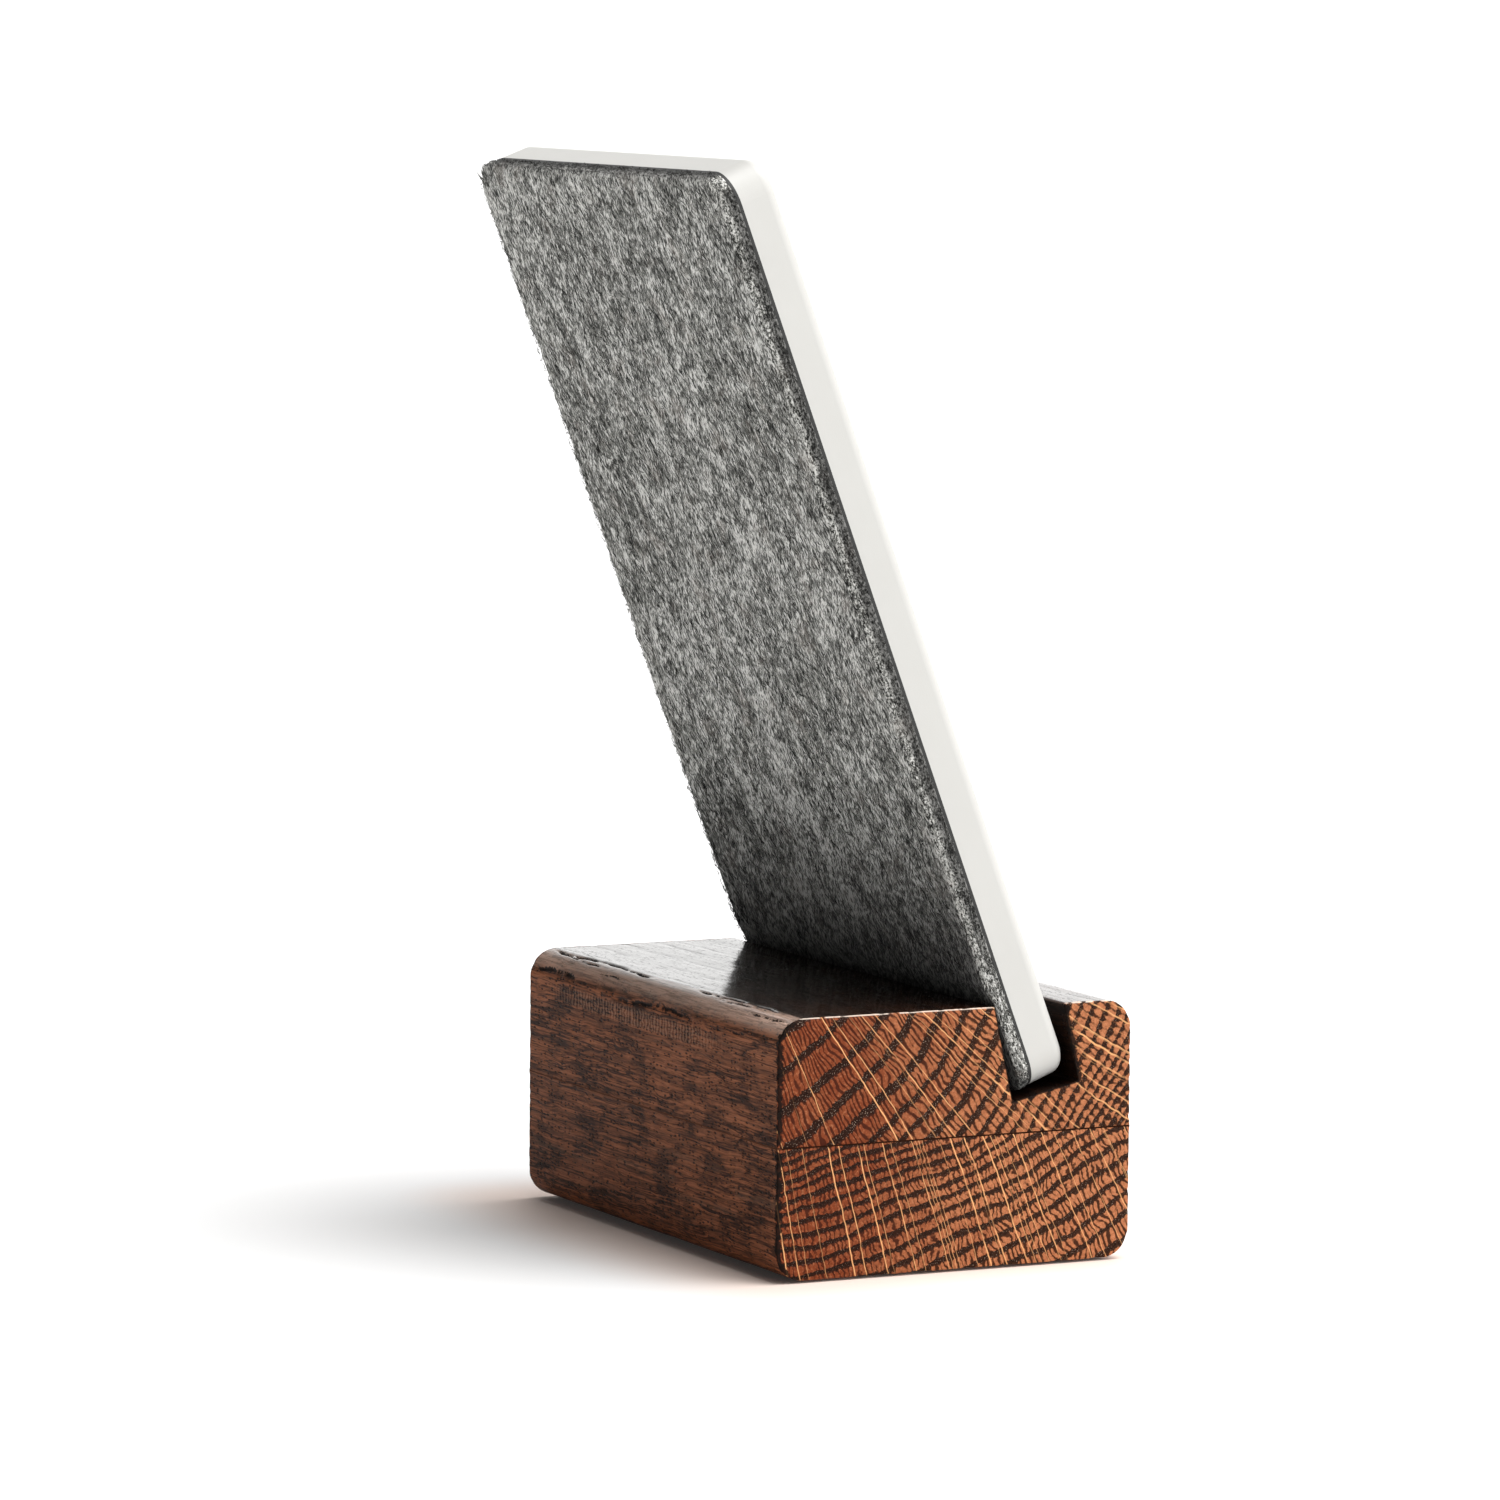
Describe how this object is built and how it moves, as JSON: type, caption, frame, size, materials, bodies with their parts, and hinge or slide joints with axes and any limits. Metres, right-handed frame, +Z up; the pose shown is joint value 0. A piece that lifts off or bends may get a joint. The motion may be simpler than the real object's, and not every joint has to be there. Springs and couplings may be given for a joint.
{
  "type": "phone stand",
  "caption": "Oiled oak block with a tilted cross slot that holds a lift-out, felt-backed white upright leaning back for a phone.",
  "frame": {"origin": "on the table, at the centre of the whole stand's footprint box", "axes": "+Z up; X along the wood grain and the slot, +X to the right seen from the front; -Y towards the front, so the upright leans back towards +Y"},
  "size_m": [0.088, 0.0718, 0.1672],
  "materials": {
    "oak": "dark oiled oak, satin, open pores, bright end grain",
    "wood_glue": "dried wood glue, dark hairline",
    "white_slab": "warm white, fine satin",
    "black_film": "black adhesive film, matte edge",
    "wool_felt": "mottled grey pressed wool felt, fuzzy",
    "pad": "thin black stick-on pad, matte"
  },
  "bodies": {
    "base": {"lower_board": "oak", "board_glue_line": "wood_glue", "upper_board": "oak", "foot_pad_front_left": "pad", "foot_pad_front_right": "pad", "foot_pad_back_left": "pad", "foot_pad_back_right": "pad"},
    "upright": {"upright_slab": "white_slab", "felt_adhesive": "black_film", "felt_backing": "wool_felt"}
  },
  "joints": [
    {"name": "panel_lift", "type": "slide", "parent": "base", "child": "upright", "axis": [0, 0.3584, 0.9336], "range_m": [0, 0.03]}
  ]
}
